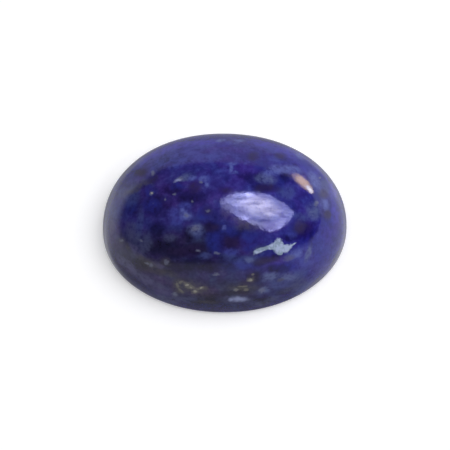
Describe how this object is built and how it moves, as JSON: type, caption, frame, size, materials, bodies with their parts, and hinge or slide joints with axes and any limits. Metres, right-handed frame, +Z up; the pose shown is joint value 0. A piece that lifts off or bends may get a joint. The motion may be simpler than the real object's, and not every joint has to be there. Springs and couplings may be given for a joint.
{
  "type": "lapis lazuli cabochon",
  "caption": "Polished oval gemstone with a high smooth dome over a flat ground base, cut to lie in a ring or pendant setting.",
  "frame": {"origin": "middle of the flat ground base, where the stone rests", "axes": "+X along the oval's length, +Y across it and away from the picture's camera, +Z up through the crown of the dome"},
  "size_m": [0.016, 0.012, 0.0065],
  "materials": {
    "lapis": "polished violet-blue lapis with pale calcite patches and small pyrite flecks"
  },
  "bodies": {
    "root": {"cabochon": "lapis"}
  },
  "joints": []
}
